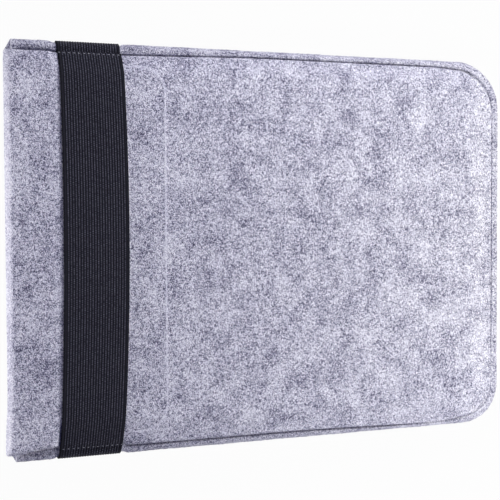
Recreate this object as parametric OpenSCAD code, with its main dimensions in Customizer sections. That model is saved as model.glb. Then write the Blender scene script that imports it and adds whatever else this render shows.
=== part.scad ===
// Felt laptop sleeve with an elastic closing band, lying on its back.
// X runs from the mouth to the closed end, Y along the short side, Z up through the front.

/* [Sleeve] */
// Length of the edge strip from its mouth end to the closed end
sleeve_l = 350; // [300:1:420]
// Height across the edge strip
sleeve_h = 262; // [220:1:320]
// Plan radius of the two corners at the closed end
corner_r = 36; // [28:1:60]
// Clear depth of the pocket, from the back panel to the mouth facing
pocket_t = 13; // [10:0.5:18]

/* [Felt] */
// Thickness of the felt
felt_t = 3; // [2:0.25:4]
// Width of the folded edge strip that shows outside the seams
rim_w = 4.6; // [4:0.1:7]
// Width of the edge strip's seam allowance under the shoulders
seam_tab = 3; // [2:0.25:4]

/* [Mouth] */
// How far the lip's rolled edge stands out past the strip's front leaf
lip_overhang = 6.5; // [6:0.5:14]
// How far the lip's sides draw in from the line of the seams
lip_draw = 2; // [0:0.25:4]
// How far the back panel stands out past the strip's front leaf
back_reach = 5; // [2:0.5:7]
// Distance from the strip's front leaf to the inner edge of the turned-in facing
facing_depth = 96; // [75:1:130]
// Distance from the side seams to the sides of the facing
facing_inset = 10; // [10:0.5:20]
// Radius of the facing's inner corners
facing_corner_r = 17; // [5:1:30]
// Distance from the band's mouth-side edge to the line where the lip bends
bend_margin = 1; // [0.5:0.25:6]
// Gap under the lip's shoulders, where the lip is not sewn down
lip_gap = 0.6; // [0.4:0.1:1.5]

/* [Band] */
// Distance from the strip's front leaf to the band at its tack rows
band_s = 27.3; // [20:0.5:45]
// Width of the elastic band
band_w = 40; // [25:1:50]
// Thickness of the elastic band
band_t = 1.2; // [0.8:0.1:1.6]
// How far the middle of the front run bows towards the closed end
band_bow = 4.6; // [0:0.2:8]

/* [Thread] */
// Diameter of the sewing thread
thread_d = 0.7; // [0.4:0.1:0.9]
// Length of one tack stitch
tack_l = 2.2; // [1.5:0.1:2.5]
// Distance between tack stitches
tack_pitch = 3.1; // [3:0.1:5]
// Distance from the seam out to the tack row
tack_out = 2.4; // [2.2:0.1:3]

/* [Clearance] */
// Gap between pieces that move past each other
move_gap = 0.3; // [0.2:0.05:0.5]
// Gap between pieces that lie on each other
lay_gap = 0.1; // [0.05:0.05:0.2]

/* [Hidden] */
$fn = 64;

felt_colour = [0.70, 0.70, 0.77];
strip_colour = [0.66, 0.66, 0.73];
band_colour = [0.17, 0.17, 0.21];
thread_colour = [0.45, 0.45, 0.50];
tack_colour = [0.62, 0.62, 0.66];

// Levels: the pocket lies between the back panel and the facing under the front panel
sleeve_t = pocket_t + 3 * felt_t;
mid_z = sleeve_t / 2;
seam_z = mid_z + felt_t;
shoulder_r = sleeve_t - seam_z;
facing_z = sleeve_t - 2 * felt_t;

// Half heights of the seam line, of the flat face and of the facing
half_h = sleeve_h / 2;
half_seam = half_h - rim_w;
half_flat = half_seam - shoulder_r;
half_facing = half_seam - facing_inset;

// Places along X, with the bounding box centred on the origin
mouth_x = (lip_overhang - sleeve_l) / 2;
end_x = mouth_x + sleeve_l;
back_x = mouth_x - back_reach;
lip_x = mouth_x - lip_overhang;
fold_x = lip_x + shoulder_r;
band_x = mouth_x + band_s;
bend_x = band_x - bend_margin;
lip_end_x = bend_x - move_gap;
facing_end_x = mouth_x + facing_depth;
corner_x = end_x - corner_r;
corner_y = half_h - corner_r;

// Wraps of the band around the strip, and where the free run starts above them
wrap_in_r = felt_t + lay_gap;
wrap_out_r = wrap_in_r + band_t;
run_end_z = mid_z + wrap_out_r + move_gap;
back_end_z = sleeve_t - mid_z - wrap_out_r - lay_gap;
bow_steps = 24;

// Thread channel in the middle of the seam allowance
channel_d = thread_d + 2 * lay_gap;
channel_u = rim_w + seam_tab / 2;

// Tack row on the outside of the wrap, on its flat or on its round edge
tack_u = rim_w - tack_out;
tack_rise = sqrt(wrap_out_r ^ 2 - max(0, felt_t - tack_u) ^ 2);
tack_z = mid_z + tack_rise + lay_gap + thread_d / 2;
tack_count = floor((band_w - tack_l) / tack_pitch) + 1;

// Sweeps a profile, drawn as distance in from the crest and height, around the three sewn edges
module around_edges(from_x) {
    for (side = [0, 1])
        mirror([0, side, 0]) {
            translate([from_x, -half_h, 0])
                rotate([90, 0, 90])
                    linear_extrude(corner_x - from_x)
                        children();
            translate([corner_x, -corner_y, 0])
                rotate([0, 0, -90])
                    rotate_extrude(angle = 90)
                        translate([corner_r, 0])
                            mirror([1, 0])
                                children();
        }
    translate([end_x, -corner_y, 0])
        rotate([90, 0, 180])
            linear_extrude(2 * corner_y)
                children();
}

// Plan outline of a sheet, square at the mouth side and round at the closed end
module sheet_outline(from_x, inset) {
    translate([from_x, inset - half_h])
        square([corner_x - from_x, sleeve_h - 2 * inset]);
    translate([corner_x, -corner_y])
        square([corner_r - inset, 2 * corner_y]);
    for (side = [-1, 1])
        translate([corner_x, side * corner_y])
            circle(corner_r - inset);
}

// Section across the front, flat with rounded shoulders, grown outwards and drawn in at its sides
module arch(grow, low_z, draw = 0) {
    half_top = half_flat - draw;
    intersection() {
        union() {
            translate([-half_top, seam_z])
                square([2 * half_top, shoulder_r + grow]);
            for (side = [-1, 1])
                translate([side * half_top, seam_z])
                    circle(shoulder_r + grow);
        }
        translate([-half_h, low_z])
            square([2 * half_h, sleeve_t]);
    }
}

// Turns a section across the sleeve into a run along X
module run(from_x, length) {
    translate([from_x, 0, 0])
        rotate([90, 0, 90])
            linear_extrude(length)
                children();
}

// Turns front geometry into the same geometry at the back
module flipped() {
    translate([0, 0, sleeve_t])
        mirror([0, 0, 1])
            children();
}

// Shoulder of a panel, with half of the thread channel in its sewn edge
module shoulder_profile() {
    difference() {
        intersection() {
            translate([rim_w + shoulder_r, seam_z])
                difference() {
                    circle(shoulder_r);
                    circle(shoulder_r - felt_t);
                }
            translate([rim_w, seam_z])
                square([shoulder_r, shoulder_r]);
        }
        translate([channel_u, seam_z])
            circle(d = channel_d);
    }
}

// Flat sheet with shoulders along its three sewn edges, at the front
module panel(from_x) {
    around_edges(from_x)
        shoulder_profile();
    translate([0, 0, sleeve_t - felt_t])
        linear_extrude(felt_t)
            sheet_outline(from_x, rim_w + shoulder_r);
}

// Section of the edge strip, grown outwards, from its round crest in to a distance from the crest
module strip_section(grow, to_u) {
    translate([felt_t, mid_z])
        circle(felt_t + grow);
    translate([felt_t, mid_z - felt_t - grow])
        square([to_u - felt_t, 2 * (felt_t + grow)]);
}

// Felt folded double, with half of a thread channel in each sewn face
module strip_profile() {
    difference() {
        strip_section(0, rim_w + seam_tab);
        for (centre_z = [mid_z - felt_t, seam_z])
            translate([channel_u, centre_z])
                circle(d = channel_d);
    }
}

// Band around the edge strip, from seam to seam
module wrap_profile() {
    intersection() {
        difference() {
            strip_section(lay_gap + band_t, rim_w);
            strip_section(lay_gap, rim_w + seam_tab);
        }
        translate([rim_w - sleeve_t, 0])
            square(sleeve_t);
    }
}

// Cutter for the slanted corners at the mouth, on both sides
module mouth_corners() {
    slant_y = rim_w + lip_draw;
    for (side = [0, 1])
        mirror([0, side, 0])
            linear_extrude(sleeve_t)
                polygon([
                    [mouth_x + back_reach, half_h + slant_y],
                    [mouth_x - 2 * back_reach, half_h - 2 * slant_y],
                    [mouth_x - 2 * back_reach, half_h + slant_y]
                ]);
}

// Thread all along one seam
module seam_thread(from_x) {
    around_edges(from_x)
        translate([channel_u, seam_z])
            circle(d = thread_d);
}

// Row of stitches across the band, along the bottom seam
module tack_row() {
    first_x = band_x + (band_w - (tack_count - 1) * tack_pitch) / 2;
    for (i = [0 : tack_count - 1])
        translate([
            first_x + i * tack_pitch - tack_l / 2,
            tack_u - half_h,
            tack_z
        ])
            rotate([0, 90, 0])
                cylinder(d = thread_d, h = tack_l);
}

// Flat turned-in sheet between two places along X
module facing_sheet(from_x, to_x) {
    translate([from_x, -half_facing, facing_z])
        cube([to_x - from_x, 2 * half_facing, felt_t]);
}

module back_panel() {
    color(felt_colour)
        difference() {
            flipped()
                panel(back_x);
            flipped()
                run(band_x - lay_gap, band_w + 2 * lay_gap)
                    difference() {
                        arch(band_t, seam_z - felt_t);
                        arch(-band_t - lay_gap, seam_z - felt_t);
                    }
            mouth_corners();
        }
}

module edge_strip() {
    // The front leaf ends square, and the back leaf slants out to the back panel's mouth edge
    color(strip_colour)
        difference() {
            around_edges(back_x)
                strip_profile();
            mouth_corners();
            translate([mouth_x - 2 * back_reach, -half_h, mid_z])
                cube([2 * back_reach, sleeve_h, mid_z]);
        }
}

module front_panel() {
    color(felt_colour)
        panel(bend_x);
}

module front_lip() {
    color(felt_colour)
        run(fold_x, lip_end_x - fold_x)
            difference() {
                arch(0, seam_z + lip_gap, lip_draw);
                arch(-felt_t, seam_z, lip_draw);
            }
}

module lip_fold() {
    color(felt_colour)
        difference() {
            intersection() {
                run(lip_x, shoulder_r)
                    arch(0, seam_z + lip_gap, lip_draw);
                translate([fold_x, half_h, seam_z])
                    rotate([90, 0, 0])
                        cylinder(r = shoulder_r, h = sleeve_h);
            }
            translate([lip_x, -half_facing, 0])
                cube([shoulder_r, 2 * half_facing, facing_z]);
        }
}

module mouth_facing() {
    color(felt_colour)
        intersection() {
            facing_sheet(bend_x, facing_end_x);
            union() {
                facing_sheet(bend_x, facing_end_x - facing_corner_r);
                translate([0, 0, facing_z])
                    linear_extrude(felt_t) {
                        translate([bend_x, facing_corner_r - half_facing])
                            square([facing_end_x - bend_x, 2 * (half_facing - facing_corner_r)]);
                        for (side = [-1, 1])
                            translate([
                                facing_end_x - facing_corner_r,
                                side * (half_facing - facing_corner_r)
                            ])
                                circle(facing_corner_r);
                    }
            }
        }
}

module mouth_facing_lip() {
    color(felt_colour)
        facing_sheet(fold_x, lip_end_x);
}

module front_seam_thread() {
    color(thread_colour)
        seam_thread(bend_x);
}

module back_seam_thread() {
    color(thread_colour)
        flipped()
            seam_thread(back_x);
}

module band_front() {
    // The run follows the front, cut to a plan outline whose sides are parabolas
    outline = concat(
        [for (i = [0 : bow_steps]) bow_point(i, 0)],
        [for (i = [bow_steps : -1 : 0]) bow_point(i, band_w)]
    );
    color(band_colour)
        intersection() {
            run(band_x, band_w + band_bow)
                difference() {
                    arch(move_gap + band_t, run_end_z);
                    arch(move_gap, seam_z);
                }
            linear_extrude(2 * sleeve_t)
                polygon(outline);
        }
}

// Point on the bowed side of the band, at a step along the run and a distance across it
function bow_point(i, across) =
    let (t = 2 * i / bow_steps - 1)
    [band_x + across + band_bow * (1 - t * t), t * half_h];

module band_bottom_wrap() {
    color(band_colour)
        translate([0, -half_h, 0])
            run(band_x, band_w)
                wrap_profile();
}

module band_top_wrap() {
    mirror([0, 1, 0])
        band_bottom_wrap();
}

module band_back() {
    color(band_colour)
        flipped()
            run(band_x, band_w)
                difference() {
                    arch(0, sleeve_t - back_end_z);
                    arch(-band_t, seam_z);
                }
}

module band_tack_bottom() {
    color(tack_colour)
        tack_row();
}

module band_tack_top() {
    mirror([0, 1, 0])
        band_tack_bottom();
}

back_panel();
edge_strip();
front_panel();
front_lip();
lip_fold();
mouth_facing();
mouth_facing_lip();
front_seam_thread();
back_seam_thread();
band_front();
band_top_wrap();
band_bottom_wrap();
band_back();
band_tack_top();
band_tack_bottom();
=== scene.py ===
"""Felt laptop sleeve with an elastic closing band, lying on its back on a white floor.

Lengths are worked out in millimetres in the frame of the part's source and go into the meshes
in metres: X runs from the mouth to the closed end, Y along the short side, Z up through the front.
"""

import bpy
import numpy as np
from mathutils import Matrix, Vector


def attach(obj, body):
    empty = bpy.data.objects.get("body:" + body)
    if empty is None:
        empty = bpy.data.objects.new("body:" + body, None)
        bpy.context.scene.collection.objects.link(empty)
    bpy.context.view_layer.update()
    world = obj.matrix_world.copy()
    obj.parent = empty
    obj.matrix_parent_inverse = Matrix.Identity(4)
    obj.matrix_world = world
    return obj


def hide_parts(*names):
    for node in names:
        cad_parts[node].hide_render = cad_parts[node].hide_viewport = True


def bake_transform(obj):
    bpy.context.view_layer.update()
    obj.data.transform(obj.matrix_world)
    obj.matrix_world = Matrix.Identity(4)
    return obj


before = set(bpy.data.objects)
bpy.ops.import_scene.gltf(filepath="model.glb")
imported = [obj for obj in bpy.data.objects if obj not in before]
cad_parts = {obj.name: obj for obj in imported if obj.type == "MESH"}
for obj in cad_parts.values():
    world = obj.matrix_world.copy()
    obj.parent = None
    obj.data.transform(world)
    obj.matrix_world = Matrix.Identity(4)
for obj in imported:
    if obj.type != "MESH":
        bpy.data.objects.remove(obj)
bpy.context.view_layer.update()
scene = bpy.context.scene
scene.view_settings.view_transform = "Standard"


# Camera. It stands over the mouth and looks across the front towards the closed end,
# so the mouth side looks tallest. The sleeve's short side is upright in the picture.

camera_place = Vector((-261.06, 25.40, 662.00)) / 1000
camera_forward = Vector((0.35279, -0.03882, -0.93490)).normalized()
camera_right = camera_forward.cross(Vector((0.01839, 0.99923, -0.03455))).normalized()
camera_up = camera_right.cross(camera_forward)

camera_data = bpy.data.cameras.new("camera")
camera_data.lens = 74.725
camera_data.sensor_width = 36.0
camera_data.clip_start = 0.01
camera = bpy.data.objects.new("camera", camera_data)
camera.matrix_world = Matrix.Translation(camera_place) @ Matrix(
    (camera_right, camera_up, -camera_forward)
).transposed().to_4x4()
scene.collection.objects.link(camera)
scene.camera = camera


# Studio light. Large soft lamps stand beyond the closed end, the top edge and the bottom edge,
# and a narrow one lies beyond the mouth, where it catches the roll of the lip.


def studio_lamp(name, place, aim, size, power, colour=(1.0, 1.0, 1.0)):
    """Area lamp at a place, turned so that it shines at a point, both in millimetres."""
    data = bpy.data.lights.new(name, "AREA")
    data.shape = "RECTANGLE"
    data.size, data.size_y = size[0] / 1000, size[1] / 1000
    data.energy = power
    data.color = colour
    lamp = bpy.data.objects.new(name, data)
    away = Vector(place) - Vector(aim)
    turned = away.to_track_quat("Z", "Y").to_matrix().to_4x4()
    lamp.matrix_world = Matrix.Translation(Vector(place) / 1000) @ turned
    scene.collection.objects.link(lamp)


studio_lamp("key_lamp", (400, 0, 190), (150, 0, 10), (160, 480), 0.95, (1.0, 1.0, 0.73))
studio_lamp("top_lamp", (140, 490, 320), (75, 60, 10), (430, 240), 3.5)
studio_lamp("bottom_lamp", (360, -430, 330), (160, -60, 10), (240, 220), 3.1)
studio_lamp("mouth_lamp", (-430, -20, 50), (-177, -20, 16), (330, 90), 1.15, (1.0, 0.99, 0.94))

world = bpy.data.worlds.new("studio")
world.use_nodes = True
world.node_tree.nodes["Background"].inputs["Color"].default_value = (0.26, 0.29, 1.0, 1.0)
world.node_tree.nodes["Background"].inputs["Strength"].default_value = 0.10
scene.world = world


# Floor. A white sweep of board under the sleeve; seen directly it is close to pure white
# and still shows a soft trace of the sleeve's shadow.

floor_reach = 40000.0
floor_z = -0.3
glow_share = 0.97


def node_material(name):
    """A new material with nodes, and its node tree."""
    material = bpy.data.materials.new(name)
    material.use_nodes = True
    return material, material.node_tree


def math_node(tree, operation, *values):
    """Result of a math node; each value is a number or another node's output."""
    node = tree.nodes.new("ShaderNodeMath")
    node.operation = operation
    for socket, value in zip(node.inputs, values):
        if isinstance(value, (int, float)):
            socket.default_value = value
        else:
            tree.links.new(value, socket)
    return node.outputs[0]


floor_material, floor_tree = node_material("white_board")
floor_tree.nodes.clear()
board = floor_tree.nodes.new("ShaderNodeBsdfDiffuse")
board.inputs["Color"].default_value = (0.34, 0.34, 0.36, 1.0)
glow = floor_tree.nodes.new("ShaderNodeEmission")
glow.inputs["Color"].default_value = (1.0, 1.0, 1.0, 1.0)
glow.inputs["Strength"].default_value = 1.0
rays = floor_tree.nodes.new("ShaderNodeLightPath").outputs
seen = math_node(floor_tree, "MAXIMUM", rays["Is Camera Ray"], rays["Is Glossy Ray"])
seen = math_node(floor_tree, "MAXIMUM", seen, rays["Is Transmission Ray"])
mix = floor_tree.nodes.new("ShaderNodeMixShader")
floor_tree.links.new(math_node(floor_tree, "MULTIPLY", seen, glow_share), mix.inputs[0])
floor_tree.links.new(board.outputs[0], mix.inputs[1])
floor_tree.links.new(glow.outputs[0], mix.inputs[2])
surface = floor_tree.nodes.new("ShaderNodeOutputMaterial")
floor_tree.links.new(mix.outputs[0], surface.inputs["Surface"])

floor_corners = floor_reach * np.array([(-1, -1, 0), (1, -1, 0), (1, 1, 0), (-1, 1, 0)]) + (0, 0, floor_z)
floor_mesh = bpy.data.meshes.new("floor")
floor_mesh.from_pydata((floor_corners / 1000).tolist(), [], [(0, 1, 2, 3)])
floor_mesh.materials.append(floor_material)
floor = bpy.data.objects.new("floor", floor_mesh)
scene.collection.objects.link(floor)


# Back sheet. One piece of 3 mm wool felt that the sleeve lies on, with rounded shoulders along the
# three sewn edges and a plain cut edge at the mouth. The band's back run is sunk in it.

sleeve_t = 22.0
felt_t = 3.0
shoulder_r = 8.0
half_h = 131.0
end_x = 178.25
rim_w = 4.6
half_seam = half_h - rim_w
seam_end_x = end_x - rim_w
seam_z = 14.0
top_corner_r = 34.5
bottom_corner_r = 28.0
mouth_x = -171.75
back_x = -174.6
mouth_slant = 3.4
slant_w = 6.6
band_x = -144.45
band_w = 40.0
band_t = 1.2
channel_gap = 0.1
channel_wall = 0.35
back_nap = 0.05


def smooth_step(value, low, high):
    """0 below low, 1 above high, and 3t^2 - 2t^3 between them."""
    t = np.clip((value - low) / (high - low), 0, 1)
    return t * t * (3 - 2 * t)


def spaced(*marks):
    """Places from the first mark on; each (place, step) after it is reached in equal steps near that size."""
    places = [np.array([float(marks[0])])]
    for place, step in marks[1:]:
        start = places[-1][-1]
        count = max(1, int(round(abs(place - start) / step)))
        places.append(np.linspace(start, place, count + 1)[1:])
    return np.concatenate(places)


def round_corner(x, y, corner_x, corner_y, radius):
    """Bends the corner square beyond (corner_x, corner_y) to a quarter disc: a point keeps the larger of its
    two distances as its radius, and its place along that square's side becomes its angle."""
    a, b = (x - corner_x) / radius, (y - corner_y) / radius
    inside = (a > 0) & (b > 0)
    a, b = np.where(inside, a, 1.0), np.where(inside, b, 1.0)
    reach = np.maximum(a, b)
    angle = np.where(a >= b, np.pi / 4 * b / a, np.pi / 2 - np.pi / 4 * a / b)
    return (
        np.where(inside, corner_x + radius * reach * np.cos(angle), x),
        np.where(inside, corner_y + radius * reach * np.sin(angle), y),
    )


def edge_pull(distance):
    """1 at a seam, falling evenly to 0 where the shoulder meets the flat."""
    return np.clip(1 - distance / shoulder_r, 0, 1)


def nap_waves(x, y, seed):
    """Unevenness of pressed felt: a sum of sine waves 14 to 60 mm long in random directions, about 1 high."""
    count = 9
    rng = np.random.default_rng(seed)
    wave = 2 * np.pi / rng.uniform(14, 60, count)
    turn = rng.uniform(0, 2 * np.pi, count)
    phase = rng.uniform(0, 2 * np.pi, count)
    along = np.cos(turn) * x[..., None] + np.sin(turn) * y[..., None]
    return np.sin(wave * along + phase).sum(-1) / np.sqrt(count)


def grid_faces(rows, columns, first=0):
    """Four-sided faces of a grid of points that are numbered row after row from first."""
    i = np.arange(rows * columns).reshape(rows, columns) + first
    return np.stack([i[:-1, :-1], i[1:, :-1], i[1:, 1:], i[:-1, 1:]], -1).reshape(-1, 4)


def round_the_edge(grid):
    """The points on the border of a grid, in order, as one closed loop."""
    return np.concatenate([grid[0], grid[1:, -1], grid[-1, -2::-1], grid[-2:0:-1, 0]])


def solid_piece(name, points, faces, material, sharp_deg=50):
    """Object from points in millimetres. The signed volume under the faces is the sum of the triangles'
    triple products; where it is negative, every face is turned round so that it points outwards."""
    a, b, c, d = (points[faces[:, k]] for k in range(4))
    volume = (a * np.cross(b, c)).sum() + (a * np.cross(c, d)).sum()
    if volume < 0:
        faces = faces[:, ::-1]
    mesh = bpy.data.meshes.new(name)
    mesh.from_pydata((points / 1000).tolist(), [], faces.tolist())
    mesh.polygons.foreach_set("use_smooth", np.ones(len(mesh.polygons), bool))
    mesh.set_sharp_from_angle(angle=np.radians(sharp_deg))
    mesh.materials.append(material)
    piece = bpy.data.objects.new(name, mesh)
    scene.collection.objects.link(piece)
    return piece


def felt_shell(name, outer, inner, rims, material):
    """Closed sheet from its outer and inner grid, joined around the border through the loops in rims."""
    rows, columns = outer.shape[:2]
    size = rows * columns
    points = np.concatenate([outer.reshape(-1, 3), inner.reshape(-1, 3), *rims])
    number = np.arange(size).reshape(rows, columns)
    border = round_the_edge(number)
    loops = [border]
    first = 2 * size
    for rim in rims:
        loops.append(np.arange(len(rim)) + first)
        first += len(rim)
    loops.append(border + size)
    faces = [grid_faces(rows, columns), grid_faces(rows, columns, size)[:, ::-1]]
    for near, far in zip(loops[:-1], loops[1:]):
        faces.append(np.stack([near, np.roll(near, -1), np.roll(far, -1), far], -1))
    return solid_piece(name, points, np.concatenate(faces), material)


def noise_node(tree, vector, scale, detail, rough=0.5, distortion=0.0):
    """Result of a noise texture; the scale is in cycles to the unit of the vector."""
    node = tree.nodes.new("ShaderNodeTexNoise")
    node.inputs["Scale"].default_value = scale
    node.inputs["Detail"].default_value = detail
    node.inputs["Roughness"].default_value = rough
    node.inputs["Distortion"].default_value = distortion
    tree.links.new(vector, node.inputs["Vector"])
    return node.outputs["Fac"]


def colour_ramp(tree, value, stops):
    """Colour that a value takes on a ramp through stops of (place, colour), from low to high."""
    ramp = tree.nodes.new("ShaderNodeValToRGB")
    elements = ramp.color_ramp.elements
    for element, (place, colour) in zip(elements, (stops[0], stops[-1])):
        element.position = place
        element.color = (*colour, 1)
    for place, colour in stops[1:-1]:
        elements.new(place).color = (*colour, 1)
    tree.links.new(value, ramp.inputs["Fac"])
    return ramp.outputs["Color"]


def dress_shader(tree, colour, height, strength, distance, settings):
    """Gives a material's main shader its colour, a bump from a height, and its other settings by name."""
    shader = tree.nodes["Principled BSDF"]
    tree.links.new(colour, shader.inputs["Base Color"])
    bump = tree.nodes.new("ShaderNodeBump")
    bump.inputs["Strength"].default_value = strength
    bump.inputs["Distance"].default_value = distance
    tree.links.new(height, bump.inputs["Height"])
    tree.links.new(bump.outputs["Normal"], shader.inputs["Normal"])
    for setting, value in settings.items():
        shader.inputs[setting].default_value = value


def grey_felt(name, painted_shade_scale=1.0):
    """Wool felt of pale and dark fibres. Soft blotches of a centimetre or two colour it; a grain of one to
    two millimetres and curled fibres in four directions colour it and raise its surface. Where the mesh has
    a painted highlight share, the felt is painted paler and more even, as a painted highlight."""
    material, tree = node_material(name)
    place = tree.nodes.new("ShaderNodeTexCoord").outputs["Object"]

    def math(*parts):
        return math_node(tree, *parts)

    def weighed(value, weight):
        return math("MULTIPLY", math("SUBTRACT", value, 0.5), weight)

    grain = noise_node(tree, place, 620.0, 2.0, 0.6)
    fine = noise_node(tree, place, 1350.0, 1.0, 0.6)
    blotch = noise_node(tree, place, 75.0, 3.0, 0.6)
    pale, dark = 0.0, 0.0
    for turn, tilt in ((0.2, 0.5), (1.0, -0.4), (1.75, 0.3), (2.55, -0.6)):
        mapping = tree.nodes.new("ShaderNodeMapping")
        mapping.vector_type = "TEXTURE"
        mapping.inputs["Rotation"].default_value = (tilt, tilt * 0.7, turn)
        mapping.inputs["Scale"].default_value = (4.5, 0.6, 1.0)
        tree.links.new(place, mapping.inputs["Vector"])
        strand = noise_node(tree, mapping.outputs[0], 1350.0, 1.0, 0.5, 1.1)
        pale = math("MAXIMUM", pale, math("SUBTRACT", strand, 0.5))
        dark = math("MAXIMUM", dark, math("SUBTRACT", 0.5, strand))

    hairs = math("SUBTRACT", math("MULTIPLY", pale, 0.75), dark)
    tone = math("ADD", weighed(grain, 1.3), weighed(fine, 2.1))
    tone = math("ADD", tone, math("MULTIPLY", hairs, 2.3))
    tone = math("ADD", tone, weighed(blotch, 0.93))
    tone = math("ADD", tone, 0.545)
    # Painted highlight: a share set on the mesh pulls the tone up towards pale and evens it out
    painted_highlight = tree.nodes.new("ShaderNodeAttribute")
    painted_highlight.attribute_name = "painted_highlight"
    highlight_lift = math("SUBTRACT", 0.56, math("MULTIPLY", tone, 0.55))
    tone = math("ADD", tone, math("MULTIPLY", painted_highlight.outputs["Fac"], highlight_lift))
    shades = ((0.0, (0.045, 0.043, 0.095)), (0.5, (0.440, 0.432, 0.573)), (1.0, (0.820, 0.811, 0.890)))
    # Painted shade: a scale below 1 darkens every stop of the ramp, for felt that stands in shade
    colour = colour_ramp(tree, tone, [(at, [painted_shade_scale * part for part in shade]) for at, shade in shades])

    height = math("ADD", weighed(grain, 0.8), weighed(fine, 0.5))
    height = math("ADD", height, math("MULTIPLY", math("SUBTRACT", pale, dark), 0.6))
    dress_shader(tree, colour, height, 0.55, 0.0011, {
        "Roughness": 0.95, "Specular IOR Level": 0.12, "Sheen Weight": 0.22, "Sheen Roughness": 0.55
    })
    return material


felt = grey_felt("grey_felt")

band_end_x = band_x + band_w
channel_start, channel_end = band_x - channel_wall, band_end_x + channel_wall
shoulder_in = shoulder_r * (1 - np.cos(np.linspace(0, np.pi / 2, 11)))
back_xs = np.concatenate([
    spaced(back_x, (-168, 1.5), (channel_start, 2.5)),
    spaced(band_x - channel_gap, (band_end_x + channel_gap, 2.5)),
    spaced(channel_end, (142.25, 3.2), (seam_end_x - shoulder_r, 1.8))[:-1],
    seam_end_x - shoulder_in[::-1],
])
back_half_ys = np.concatenate([
    spaced(0, (95, 3.2), (half_seam - shoulder_r, 1.8))[:-1], half_seam - shoulder_in[::-1]
])
back_ys = np.concatenate([-back_half_ys[:0:-1], back_half_ys])
back_X, back_Y = np.meshgrid(back_xs, back_ys, indexing="ij")


def back_surface(inset, low):
    """Height falls by a quarter circle from the flat to the seam. The shoulder is drawn in and the flat
    lowered by the inset, which is 0 outside, the felt's thickness inside, and a little over the band's in
    its channel."""
    end_gap, side_gap = seam_end_x - back_X, half_seam - abs(back_Y)
    x = back_X - inset * edge_pull(end_gap)
    y = abs(back_Y) - inset * edge_pull(side_gap)
    bend = np.where(back_Y > 0, top_corner_r, bottom_corner_r) - rim_w
    x, y = round_corner(x, y, seam_end_x - bend, half_seam - bend, bend)
    x = np.where(back_X < mouth_x, np.maximum(x, mouth_x - mouth_slant * (half_h - y) / slant_w), x)
    rise = np.sqrt(1 - edge_pull(np.minimum(end_gap, side_gap)) ** 2)
    z = low + (sleeve_t - inset - low) * rise
    return np.stack([x, np.sign(back_Y) * y, sleeve_t - z], -1)


in_channel = ((back_X > channel_start) & (back_X < channel_end)).astype(float)
back_outer = back_surface((band_t + channel_gap) * in_channel, seam_z + 0.5)
back_waves = back_nap * nap_waves(back_X, back_Y, 3) * edge_pull(back_outer[..., 2] * 4)
back_outer[..., 2] = np.maximum(back_outer[..., 2] + back_waves, 0.0)
back_inner = back_surface(np.full_like(back_X, felt_t), seam_z)

# Steps of (inset, lift) over a sheet's sewn edge: its outer corner, then the channel for the seam's thread
thread_channel = ((1.05, 0.0), (1.2, 0.32), (1.5, 0.46), (1.8, 0.32), (1.95, 0.0))
back_rims = []
for inset, lift in ((0.15, 0.15), (0.5, 0.0), *thread_channel):
    rim = back_surface(np.full_like(back_X, inset), seam_z)
    if inset > 0.4:
        through = 1 - inset / felt_t
        rim[0, :, 2] = back_inner[0, :, 2] + (back_outer[0, :, 2] - back_inner[0, :, 2]) * through
    rim = round_the_edge(rim)
    at_mouth = rim[:, 0] < back_x + 4
    rim[:, 2] -= np.where(at_mouth, 0, lift)
    back_rims.append(rim)

back_sheet = felt_shell("back_sheet", back_outer, back_inner, back_rims, felt)
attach(back_sheet, "sleeve")
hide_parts("back_panel")


# Edge strip. A strip of the same felt with painted shade that makes it a little darker, folded double along
# its length, so that a round fold shows outside; its two cut edges are sewn between the sheets along the top,
# the closed end and the bottom.

# Painted shade: the strip's felt is the sheets' felt with every colour scaled to 0.93
painted_shade_felt = grey_felt("painted_shade_felt", 0.93)
fold_r = felt_t
fold_z = sleeve_t / 2
leaf_w = 10.4
core_half_t = 0.04
path_step = 1.4
thread_in = 1.5


def path_walk(points):
    """Distance along a polyline at each of its points."""
    return np.concatenate([[0], np.cumsum(np.linalg.norm(np.diff(points, axis=0), axis=1))])


top_x = spaced(mouth_x, (end_x - top_corner_r, path_step))
bottom_x = spaced(end_x - bottom_corner_r, (mouth_x, path_step))
end_y = spaced(half_h - top_corner_r, (bottom_corner_r - half_h, path_step))
turn = np.linspace(0, np.pi / 2, 40)[1:-1]
inward = np.concatenate([
    np.tile((0.0, -1.0), (len(top_x), 1)),
    np.stack([-np.sin(turn), -np.cos(turn)], -1),
    np.tile((-1.0, 0.0), (len(end_y), 1)),
    np.stack([-np.cos(turn), np.sin(turn)], -1),
    np.tile((0.0, 1.0), (len(bottom_x), 1)),
])
top_arc = np.array((end_x - top_corner_r, half_h - top_corner_r))
bottom_arc = np.array((end_x - bottom_corner_r, bottom_corner_r - half_h))
top_bend = slice(len(top_x), len(top_x) + len(turn))
bottom_bend = slice(-len(bottom_x) - len(turn), -len(bottom_x))
strip_path = np.concatenate([
    np.stack([top_x, np.full_like(top_x, half_h)], -1),
    top_arc - top_corner_r * inward[top_bend],
    np.stack([np.full_like(end_y, end_x), end_y], -1),
    bottom_arc - bottom_corner_r * inward[bottom_bend],
    np.stack([bottom_x, np.full_like(bottom_x, -half_h)], -1),
])
strip_walk = path_walk(strip_path)
path_x, path_y = strip_path[:, :1], strip_path[:, 1:2]

# Where the front sheet's edge meets the strip, as a distance in from the fold: it draws in towards the mouth,
# under the band and along the lip, whose lower edge slants; along the closed end it stays even
top_seam_in = 5.7
top_draw = 2.1
bottom_seam_in = 3.6
bottom_draw = 2.4
band_seam_in = 8.6
band_neck = 9.0
band_overlap = 2.0
top_lip_in = 7.9
bottom_lip_in = 9.0
bottom_lip_slant = 3.2
end_seam_in = 8.4
band_pinch = 1.1
pinch_w = 8.0


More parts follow.
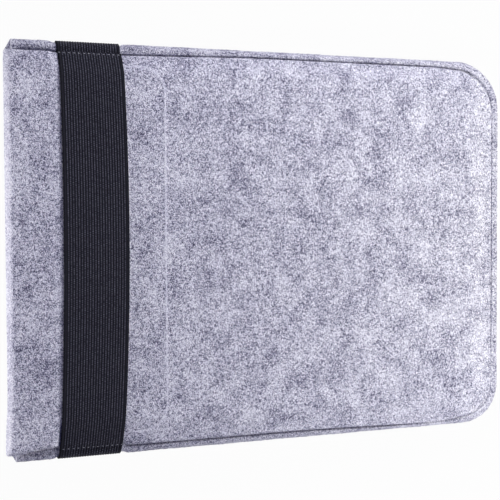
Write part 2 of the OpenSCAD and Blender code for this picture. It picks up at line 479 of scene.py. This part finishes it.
def seam_in(x, y):
    """Distance of the front seam from the strip's fold, from the place along X and the side of the sleeve."""
    under_band = smooth_step(x, band_x - band_neck, band_x + band_overlap)
    under_band = under_band * smooth_step(band_end_x - x, -band_neck, band_overlap)
    top = top_seam_in + top_draw * smooth_step(-x, 0, 110)
    bottom = bottom_seam_in + bottom_draw * smooth_step(-x, -140, 0)
    side = np.maximum(np.where(y > 0, top, bottom), band_seam_in * under_band)
    lip = np.where(y > 0, top_lip_in, bottom_lip_in - bottom_lip_slant * smooth_step(-x, 150, 177))
    side = np.maximum(side, lip * smooth_step(-x, 139.5, 146.5))
    return side + (end_seam_in - side) * smooth_step(x, end_x - 60, end_x - 8)


lip_leaf_up = 1.1
band_leaf_gain = 0.3
far_leaf_gain = 1.1
leaf_rise_w = 3.2


def seam_height(x):
    """Height of the strip's front leaf, where the front sheet is sewn: lower under the band and the lip."""
    past_lip = smooth_step(x, -160, -146)
    past_band = smooth_step(x, -103, -85)
    return seam_z + lip_leaf_up + band_leaf_gain * past_lip + far_leaf_gain * past_band


def leaf_rise(depth, x):
    """Height that the front leaf gains over the fold, which the felt's own spring makes rounder in front."""
    return (seam_height(x) - seam_z) * smooth_step(depth, 0, leaf_rise_w)


# Section from the front cut edge round the fold to the back one: distance in from the fold and height
# over it. The leaves lie on a thin core, so that the strip is one closed solid
crest = np.linspace(np.pi / 2, 0, 9)
half_in = np.concatenate([spaced(leaf_w, (fold_r, 0.28))[:-1], fold_r - fold_r * np.cos(crest)])
half_up = np.concatenate([np.full(len(half_in) - len(crest), fold_r), fold_r * np.sin(crest)])
section_in = np.concatenate([half_in, half_in[-2::-1]])
section_up = np.concatenate([half_up, -half_up[-2::-1]])
core_share = core_half_t / fold_r
core_in = np.maximum(section_in, fold_r - (fold_r - section_in) * core_share)
core_up = section_up * core_share

# A faint wave along the fold: two slow swells and the felt's own unevenness
fold_lift = 0.10 * np.sin(strip_walk * 0.21) + 0.08 * np.sin(strip_walk * 0.083 + 1.3)
fold_lift = fold_lift + 0.09 * np.random.default_rng(21).standard_normal(len(strip_walk))
free_fold = np.exp(-((section_in - 1.2) / 2.2) ** 2)

# A groove beside each seam, wider and deeper under the lip's free edge, which fades at the mouth and round
# the lower closed corner, and a narrow channel for the seam's thread
groove_h = 1.5
lip_groove_h = 0.8
groove_w = 0.5
lip_groove_w = 0.7
mouth_fade = 0.8
corner_fade = 0.68
channel_h = 0.46
channel_w = 0.36
leaf_dip = 1.9
front_seam = seam_in(path_x, path_y)
seam_here = np.where(section_up > 0, front_seam, rim_w)
lip_open = np.where(section_up > 0, smooth_step(-path_x, 142, 152), 0.0)
groove_share = 1 - mouth_fade * smooth_step(-path_x, 164, 170.5)
groove_share = groove_share - corner_fade * smooth_step(path_x, 90, 140) * smooth_step(-path_y, 50, 95)
groove_at = seam_here - 0.35 - 0.4 * lip_open
groove = np.exp(-(((section_in - groove_at) / (groove_w + lip_groove_w * lip_open)) ** 2))
groove = groove_share * (groove_h + lip_groove_h * lip_open) * groove
channel = channel_h * np.exp(-(((section_in - seam_here - thread_in) / channel_w) ** 2))
sunk = np.sign(section_up) * np.maximum(groove, channel) * (section_in > 2.4)
leaf_lift = (section_up > 0) * leaf_rise(section_in, path_x)
leaf_lift = leaf_lift - leaf_dip * lip_open * (path_y < 0) * smooth_step(section_in, 1.0, 6.5)


def pinched(depth):
    """Distance in from the strip's path of a place on the strip where the band squeezes its fold."""
    return depth + band_pinch * np.clip(1 - depth / pinch_w, 0, 1)


def strip_surface(depth, up, dent):
    """The section carried along the path, less its dents, with a faint wave along the fold. The band squeezes
    it, and at the mouth the back leaf slants out under the lip."""
    in_band = smooth_step(path_x, band_x - 4.5, band_x - 1.5)
    in_band = in_band * smooth_step(band_end_x - path_x, -3.5, -0.5)
    waves = fold_lift[:, None] * free_fold * (depth < fold_r - 0.1)
    depth_here = depth + (pinched(depth) - depth) * in_band + waves
    xy = strip_path[:, None, :] + inward[:, None, :] * depth_here[..., None]
    to_mouth = np.clip(1 - (path_x - mouth_x) / 16, 0, 1)
    slant = -mouth_slant * np.clip(depth / slant_w, 0, 1) * smooth_step(-section_up, -0.02, 0.3)
    x = xy[..., 0] + to_mouth * slant
    z = fold_z + up - dent + 0 * x
    return np.stack([x, xy[..., 1], z], -1)


strip_outer = strip_surface(section_in, section_up, sunk - leaf_lift)
strip_core = strip_surface(core_in, core_up, 0.0)
edge_strip = felt_shell("edge_strip_felt", strip_outer, strip_core, [], painted_shade_felt)
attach(edge_strip, "sleeve")
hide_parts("edge_strip")


# Front sheet. The largest piece of felt: sewn to the strip from the band to the closed end, free as a lip
# between the band and the mouth, rolled over there and turned in, so that the turned-in edge prints through.

lip_x = -177.2
lip_corner_r = 1.2
lip_flare = 1.5
lip_edge_z = 16.9
lip_edge_h = 3.2
top_lip_w = 5.0
bottom_lip_w = 2.2
facing_end_x = -76.4
facing_z = sleeve_t - 2 * felt_t
half_facing = 116.4
facing_corner = 17.0
roll_w = 4.4
roll_power = 1.8
roll_edge_h = 1.0
top_slope_w = 13.5
bottom_slope_w = 20.0
side_share = 0.4
end_slope_w = 22.0
end_share = 0.2
edge_h = 0.15
print_in = 0.6
print_h = 0.26
front_nap = 0.06
least_t = 1.2

front_xs = spaced(
    lip_x, (lip_x + roll_w, 0.4), (-170, 0.8), (-152, 2.4), (-138, 1.4), (-95, 2.4), (-81, 1.0), (-73, 0.45),
    (140, 3.0), (seam_end_x - end_slope_w, 1.7), (seam_end_x - 2, 0.9), (seam_end_x, 0.3)
)
front_half_ys = spaced(
    0, (95, 3.0), (half_seam - bottom_slope_w - 2, 1.6), (half_seam - 2, 0.9), (half_seam, 0.3)
)
front_ys = np.concatenate([-front_half_ys[:0:-1], front_half_ys])
front_X, front_Y = np.meshgrid(front_xs, front_ys, indexing="ij")

lip_free = smooth_step(-front_X, 145.0, 151)
mouth_gap, end_gap, side_gap = front_X - lip_x, seam_end_x - front_X, half_seam - abs(front_Y)
on_roll = smooth_step(side_gap - mouth_gap, -5, 7)
rim_low = seam_height(front_X) * (1 - lip_free) + lip_edge_z * lip_free
rim_low = rim_low * (1 - on_roll) + facing_z * on_roll
fillet = (edge_h + lip_edge_h * lip_free) * (1 - on_roll) + roll_edge_h * on_roll
roll_pull = np.clip(1 - mouth_gap / roll_w, 0, 1)
side_pull = np.clip(1 - side_gap / top_slope_w, 0, 1)
end_pull = np.clip(1 - end_gap / top_slope_w, 0, 1)
seam_draw = seam_in(front_X, front_Y) - rim_w


def edge_rise(distance, width, share):
    """0 at the sheet's cut edge and 1 on its flat: a quarter round on the edge makes a share of the rise, and
    a soft even slope the rest."""
    rounded = np.sqrt(1 - np.clip(1 - distance / (0.3 + 5 * share), 0, 1) ** 2)
    return share * rounded + (1 - share) * smooth_step(distance, 0, width)


sewn_w = np.where(front_Y > 0, top_slope_w, bottom_slope_w)
lip_w = np.where(front_Y > 0, top_lip_w, bottom_lip_w)
side_w = sewn_w * (1 - lip_free) + lip_w * lip_free
by_end = smooth_step(side_gap - end_gap, -10, 40)
slope_w = side_w + (end_slope_w - side_w) * by_end
round_share = side_share - (side_share - end_share) * by_end
rise = edge_rise(np.minimum(side_gap, end_gap), slope_w, round_share) * (1 - roll_pull**roll_power)


def front_plan(inset):
    """Plan of the sheet, drawn in by the inset at its edges and by the seam's own draw along its sides; the
    lip's lower corner flares out a little."""
    x = front_X + inset * roll_pull - inset * end_pull
    y = abs(front_Y) - inset * side_pull
    bend = np.where(front_Y > 0, top_corner_r, bottom_corner_r) - rim_w
    x, y = round_corner(x, y, seam_end_x - bend, half_seam - bend, bend)
    x, y = round_corner(-x, y, -lip_x - lip_corner_r, half_seam - lip_corner_r, lip_corner_r)
    x = -x - (end_seam_in - rim_w) * smooth_step(-x, 100, seam_end_x)
    x = x - lip_flare * smooth_step(-x, 160, -lip_x) * smooth_step(-front_Y, 85, half_seam)
    return x, np.sign(front_Y) * (y - seam_draw * smooth_step(abs(front_Y), 60, 116))


def facing_distance(x, y):
    """Distance from the turned-in sheet's outline, less than 0 inside it: a box with rounded corners."""
    a = x - (facing_end_x - facing_corner)
    b = abs(y) - (half_facing - facing_corner)
    return np.hypot(np.maximum(a, 0), np.maximum(b, 0)) + np.minimum(np.maximum(a, b), 0) - facing_corner


x, y = front_plan(0.0)
from_print = facing_distance(x, y) + print_in
low = rim_low + fillet
z = low + (sleeve_t - low) * rise
z = z + rise * (print_h * np.exp(-(from_print / 0.9) ** 2) + front_nap * nap_waves(x, y, 8))
front_outer = np.stack([x, y, z], -1)
# Painted highlight: the felt is painted paler along the ridge the turned-in edge prints and over the mouth's
# roll, where light catches them
painted_highlight_share = np.exp(-(from_print / 0.6) ** 2) * smooth_step(x, -112, -100)
painted_highlight_share = np.maximum(painted_highlight_share, 0.7 * smooth_step(roll_pull, 0, 0.6))

x, y = front_plan(felt_t)
doubled = smooth_step(-facing_distance(x, y), -0.5, 0.5)
z = rim_low + (sleeve_t - felt_t - rim_low) * rise
z = np.minimum(z * (1 - doubled) + facing_z * doubled, front_outer[..., 2] - least_t * rise - 0.1)
front_inner = np.stack([x, y, z], -1)

# The front's sewn edge is so thin that it takes little of the channel's lift
front_rims = []
for inset, lift in ((0.08, 1.2), (0.4, 0.4), (1.0, 0.0), *thread_channel):
    x, y = front_plan(inset)
    z = rim_low + np.minimum(lift * np.where(inset < 1, 1, 1 - on_roll), 0.6 * fillet)
    front_rims.append(round_the_edge(np.stack([x, y, z], -1)))

front_sheet = felt_shell("front_sheet", front_outer, front_inner, front_rims, felt)
painted_highlight = front_sheet.data.attributes.new("painted_highlight", "FLOAT", "POINT")
painted_highlight_values = np.zeros(len(front_sheet.data.vertices), np.float32)
painted_highlight_values[: painted_highlight_share.size] = painted_highlight_share.reshape(-1)
painted_highlight.data.foreach_set("value", painted_highlight_values)
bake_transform(front_sheet)
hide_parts("front_panel", "front_lip", "lip_fold", "mouth_facing", "mouth_facing_lip")


# Seam threads. One thread of spun polyester lies along each seam between the felt edges, out of sight in a
# channel of the felt; in front it also presses into the sheet. It runs round the top, the closed end and
# the bottom.

sewn_from_x = -145.0
seam_thread_r = 0.35
ply_depth = 0.12
ply_twist = 1.1


def spun_thread(name, dark, light):
    """Twisted thread: a fine wave across the thread makes its plies, and noise makes loose fibres."""
    material, tree = node_material(name)
    place = tree.nodes.new("ShaderNodeTexCoord").outputs["Object"]
    twist = tree.nodes.new("ShaderNodeTexWave")
    twist.bands_direction = "DIAGONAL"
    twist.inputs["Scale"].default_value = 520.0
    twist.inputs["Distortion"].default_value = 0.8
    tree.links.new(place, twist.inputs["Vector"])
    lint = noise_node(tree, place, 2600.0, 2.0)
    both = math_node(tree, "MULTIPLY", twist.outputs["Fac"], lint)
    colour = colour_ramp(tree, both, [(0.08, dark), (0.45, light)])
    dress_shader(tree, colour, both, 0.5, 0.0001, {"Roughness": 0.6, "Sheen Weight": 0.15})
    return material


seam_thread = spun_thread("seam_thread", (0.10, 0.10, 0.14), (0.24, 0.24, 0.30))


def tube_faces(rows, columns):
    """Four-sided faces of a tube of rings that are numbered ring after ring: its walls and its two ends."""
    i = np.arange(rows * columns).reshape(rows, columns)
    right = np.roll(i, -1, axis=1)
    walls = np.stack([i[:-1], i[1:], right[1:], right[:-1]], -1).reshape(-1, 4)
    k = np.arange(columns // 2 - 1)
    cap = np.stack([k, k + 1, columns - 2 - k, columns - 1 - k], -1)
    return np.concatenate([walls, cap, cap[:, ::-1] + (rows - 1) * columns])


def thread_tube(centre, side, lift, radius):
    """Points and faces of a tube of two round lobes, one for each ply, that turn as it runs along its centre
    line; side and lift are the directions across it at each place."""
    around = np.linspace(0, 2 * np.pi, 8, endpoint=False)
    twist = around[None, :] - ply_twist * path_walk(centre)[:, None]
    lobe = radius * (1 - ply_depth + ply_depth * np.cos(2 * twist))
    points = centre[:, None] + (lobe * np.cos(around))[..., None] * side[:, None]
    points = points + (lobe * np.sin(around))[..., None] * lift[:, None]
    return points.reshape(-1, 3), tube_faces(len(centre), len(around))


for face, first_x in (("front", sewn_from_x), ("back", mouth_x + 1.0)):
    sewn_places = strip_path[:, 0] > first_x
    seam_depth = (front_seam[sewn_places] if face == "front" else rim_w) + thread_in
    thread_xy = strip_path[sewn_places] + inward[sewn_places] * seam_depth
    height = seam_height(thread_xy[:, 0]) if face == "front" else np.full(len(thread_xy), sleeve_t - seam_z)
    across_seam = np.column_stack([inward[sewn_places], np.zeros(len(thread_xy))])
    upright = np.tile((0.0, 0.0, 1.0), (len(thread_xy), 1))
    line = thread_tube(np.column_stack([thread_xy, height]), across_seam, upright, seam_thread_r)
    thread = solid_piece(face + "_seam_line", *line, seam_thread, 80)
    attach(thread, "sleeve")
    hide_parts(face + "_seam_thread")


# Elastic band, fixed part. Woven ribbed elastic 40 mm wide, sewn down at both seams: it wraps the strip
# at the top, runs flush across the back, and wraps the strip at the bottom.

rib_pitch = 1.64
rib_h = 0.30
selvage = 1.96
selvage_dip = 0.10
edge_r = 0.5
pick_pitch = 1.15
wrap_gap = band_t / 2 + 0.12
wrap_lean = 1.6


def band_section():
    """Closed section across the band: distance across and height over the middle of its thickness. Ribs are
    rounded ridges a rib pitch apart between two plain selvages, and the edges are rounded."""
    across = np.concatenate([
        edge_r * (1 - np.cos(np.linspace(0, np.pi / 2, 5))),
        spaced(edge_r, (selvage, 0.4), (band_w / 2, 0.24))[1:],
    ])
    across = np.concatenate([across, band_w - across[-2::-1]])
    edge = np.minimum(across, band_w - across)
    thick = band_t / 2 * np.sqrt(1 - np.clip(1 - edge / edge_r, 0, 1) ** 2)
    ribbed = smooth_step(edge, selvage - 0.3, selvage + 0.3)
    rib = abs(np.sin(np.pi * (across - selvage) / rib_pitch)) ** 0.8 - 1
    top = thick + rib_h * rib * ribbed - selvage_dip * (1 - ribbed) * (edge > edge_r)
    return np.concatenate([across, across[-2:0:-1]]), np.concatenate([top, -thick[-2:0:-1]])


def along_path(points, step):
    """Places, directions and distances along a polyline of (y, z) points that is smoothed by a short moving
    mean; the places are a step apart, and closer where it bends."""
    fine_step = 0.1
    reach = 12
    mean = np.ones(2 * reach + 1) / (2 * reach + 1)

    def smoothed(values):
        return np.convolve(np.pad(values, reach, mode="reflect", reflect_type="odd"), mean, "valid")

    walk = path_walk(points)
    fine = np.linspace(0, walk[-1], int(walk[-1] / fine_step))
    y, z = (smoothed(np.interp(fine, walk, points[:, k])) for k in (0, 1))
    dy, dz = np.gradient(y), np.gradient(z)
    bend = abs(np.gradient(np.unwrap(np.arctan2(dz, dy))))
    need = np.concatenate([[0], np.cumsum(fine_step / step + 3.5 * bend[1:])])
    count = int(np.ceil(need[-1])) + 1
    number = np.arange(len(fine))
    at = np.interp(np.linspace(0, need[-1], count), need, number)
    y, z, dy, dz = (np.interp(at, number, value) for value in (y, z, dy, dz))
    length = np.hypot(dy, dz)
    return y, z, dy / length, dz / length, np.interp(at, number, fine)


def elastic_piece(name, path, step, bow, material, first_along=0.0):
    """The band's section carried along a path in Y and Z, with its ribs on the left of the way along it, and
    moved in X by the bow. The place across and along the band is kept on the mesh, for the weave."""
    y, z, dy, dz, along = along_path(np.asarray(path, float), step)
    across, height = band_section()
    point_y = y[:, None] - dz[:, None] * height
    point_z = z[:, None] + dy[:, None] * height
    point_x = band_x + across + bow(y[:, None], across)
    points = np.stack([point_x, point_y, point_z], -1).reshape(-1, 3)
    piece = solid_piece(name, points, tube_faces(len(y), len(across)), material, 65)
    weave = piece.data.attributes.new("weave", "FLOAT_VECTOR", "POINT")
    place = np.broadcast_arrays(across[None, :], first_along + along[:, None], 0.0 * height[None, :])
    weave.data.foreach_set("vector", np.stack(place, -1).reshape(-1).astype(np.float32))
    return piece


def ribbed_elastic(name):
    """Charcoal elastic: each rib is a chain of short crosswise floats, staggered from rib to rib, with
    painted shade that darkens the grooves between the ribs; darker on the selvages, with a little pale lint."""
    material, tree = node_material(name)
    weave = tree.nodes.new("ShaderNodeAttribute")
    weave.attribute_name = "weave"
    apart = tree.nodes.new("ShaderNodeSeparateXYZ")
    tree.links.new(weave.outputs["Vector"], apart.inputs[0])
    across, along = apart.outputs[0], apart.outputs[1]

    def math(*parts):
        return math_node(tree, *parts)

    rib_place = math("DIVIDE", math("SUBTRACT", across, selvage), rib_pitch)
    rib = math("ABSOLUTE", math("SINE", math("MULTIPLY", rib_place, np.pi)))
    stagger = math("MULTIPLY", math("FLOOR", rib_place), 0.5)
    pick_place = math("ADD", math("DIVIDE", along, pick_pitch), stagger)
    pick = math("MULTIPLY_ADD", math("SINE", math("MULTIPLY", pick_place, 2 * np.pi)), 0.5, 0.5)
    lint = noise_node(tree, weave.outputs["Vector"], 0.9, 3.0, 0.65)
    # Partly the floats' own pattern, partly painted shade: the cover falls steeply into the grooves between
    # the ribs, which the ramp paints near black
    floats_and_groove_shade = math("MULTIPLY", math("POWER", rib, 2.4), math("MULTIPLY_ADD", pick, 0.5, 0.5))
    edge = math("MINIMUM", across, math("SUBTRACT", band_w, across))
    inner = math("SMOOTH_MIN", math("DIVIDE", edge, selvage + 0.5), 1.0, 0.2)
    tone = math("MULTIPLY", math("MULTIPLY", floats_and_groove_shade, inner), math("MULTIPLY_ADD", lint, 2.6, -0.45))
    colour = colour_ramp(tree, tone, [
        (0.0, (0.0030, 0.0030, 0.0060)), (0.4, (0.0135, 0.0133, 0.0260)), (0.95, (0.105, 0.105, 0.145))
    ])
    height = math("ADD", math("MULTIPLY", floats_and_groove_shade, 0.7), math("MULTIPLY", lint, 0.5))
    dress_shader(tree, colour, height, 0.6, 0.00035, {
        "Roughness": 0.82, "Specular IOR Level": 0.15, "Sheen Weight": 0.06, "Sheen Roughness": 0.5
    })
    return material


elastic = ribbed_elastic("ribbed_elastic")


def path_off(y, z, gap):
    """The path of points (y, z) moved by a gap to the left of the way along it."""
    dy, dz = np.gradient(y), np.gradient(z)
    length = np.hypot(dy, dz)
    return np.stack([y - gap * dz / length, z + gap * dy / length], -1)


# From the bottom seam round the strip and over the back's shoulder to the flat, and the same at the top
band_mid_x = band_x + band_w / 2
wrap_turn = np.linspace(np.pi / 2, -np.pi / 2, 25)
wrap_flat = np.linspace(8.5, 3.2, 14)
wrap_in = np.concatenate([wrap_flat, fold_r - fold_r * np.cos(wrap_turn)])
wrap_up = np.concatenate([np.full(len(wrap_flat), fold_r), fold_r * np.sin(wrap_turn)])
wrap_up = wrap_up + leaf_rise(wrap_in, band_mid_x) * (wrap_up > 0)
strip_wrap = path_off(-half_h + pinched(wrap_in), fold_z + wrap_up, -wrap_gap)
under_strip = (-half_seam + 0.2, 7.2)
back_turn = np.linspace(np.radians(16), np.pi / 2, 16)
back_turn_r = shoulder_r - band_t / 2
back_y = shoulder_r - half_seam - back_turn_r * np.cos(back_turn)
back_z = shoulder_r - back_turn_r * np.sin(back_turn)
half_loop = np.concatenate([strip_wrap, [under_strip], np.stack([back_y, back_z], -1)])
loop = np.concatenate([half_loop, half_loop[::-1] * (-1, 1)])


def wrap_lead(y, across):
    """The band's bottom wrap leans towards the mouth as it leaves the back."""
    return -wrap_lean * smooth_step(-y, 118, 130) + 0 * across


band_fixed = elastic_piece("band_fixed", loop[::-1], 4.0, wrap_lead, elastic)
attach(band_fixed, "sleeve")
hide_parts("band_top_wrap", "band_back", "band_bottom_wrap")


# Elastic band, front run. The same band's free stretch over the front, held only at its two tack rows
# and bowed towards the closed end. Two halves meet at its middle, where it is pulled off the front.

tack_in = {1.0: 8.4, -1.0: 7.5}
toe = 1.3
toe_z = seam_z + leaf_rise(6.0, band_mid_x) + 2 * wrap_gap + band_t / 2
edge_z = seam_height(band_mid_x) + edge_h
front_gap = 0.95
mouth_bow = 2.6
far_bow = 4.2
run_lean = 0.8
half_run_l = 137.0


def run_bow(y, across):
    """Each side of the run is a parabola along Y, which bows most at the middle of the front, the side away
    from the mouth more than the other; the whole run leans towards the mouth at the bottom."""
    t = y / half_h
    bow = mouth_bow + (far_bow - mouth_bow) * across / band_w
    return bow * (1 - t**2) - run_lean + run_lean * t


for half, side, slope in (("upper", 1.0, top_slope_w), ("lower", -1.0, bottom_slope_w)):
    from_edge = 0.7 + (slope + 0.3) * np.linspace(0, 1, 32) ** 1.6
    shoulder_z = edge_z + (sleeve_t - edge_z) * edge_rise(from_edge, slope, side_share)
    over_edge = path_off(half_h - band_seam_in - from_edge, shoulder_z, -front_gap)
    tack_y = half_h - tack_in[side]
    sewn_end = [(tack_y + toe, toe_z), (tack_y, toe_z)]
    half_path = np.concatenate([sewn_end, over_edge, [(0.0, over_edge[-1, 1])]]) * (side, 1.0)
    half_path = half_path if side < 0 else half_path[::-1]
    first_along = 0.0 if side < 0 else half_run_l
    half_run = elastic_piece("band_run_" + half, half_path, 2.6, run_bow, elastic, first_along)
    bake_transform(half_run)
    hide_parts("band_front")


# Tack rows. Thirteen short stitches of pale twisted thread across each end of the front run,
# which pass through the band and the strip; each is a low arch that dips into the band at both ends.

tack_thread = spun_thread("tack_thread", (0.10, 0.10, 0.13), (0.44, 0.44, 0.50))
stitch_count = 13
stitch_pitch = 3.1
stitch_half_l = 1.0
stitch_r = 0.24
stitch_sink = 0.6
stitch_up = {1.0: 0.82, -1.0: 0.50}
stitch_mid_x = band_mid_x - 0.2
stitch_x = stitch_mid_x + stitch_pitch * (np.arange(stitch_count) - (stitch_count - 1) / 2)
stitch_t = np.linspace(-1, 1, 11)[:, None]
stitch_around = np.linspace(0, 2 * np.pi, 10, endpoint=False)


def stitch_row(name, side):
    """A tube of two lobes that turn as it goes, carried over a low arch, once for each stitch."""
    radius = stitch_r * (1 + 0.16 * np.cos(2 * (stitch_around[None, :] - 2.6 * stitch_t)))
    radius = radius * np.sqrt(1 - 0.75 * stitch_t**4)
    tube_x = np.broadcast_to(stitch_half_l * stitch_t, radius.shape)
    tube_y = side * (half_h - tack_in[side] + 0.35) + radius * np.cos(stitch_around)
    tube_z = toe_z + stitch_up[side] - stitch_sink * stitch_t**4 + radius * np.sin(stitch_around)
    one = np.stack([tube_x, tube_y, tube_z], -1).reshape(-1, 3)
    along_row = np.stack([stitch_x, 0 * stitch_x, 0 * stitch_x], -1)
    points = (one[None] + along_row[:, None]).reshape(-1, 3)
    first = len(one) * np.arange(stitch_count)
    faces = (tube_faces(*radius.shape)[None] + first[:, None, None]).reshape(-1, 4)
    return solid_piece(name, points, faces, tack_thread, 80)


for node, side in (("band_tack_top", 1.0), ("band_tack_bottom", -1.0)):
    row = stitch_row(node + "_stitches", side)
    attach(row, "sleeve")
    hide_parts(node)


# End. The view layer is brought up to date.

bpy.context.view_layer.update()
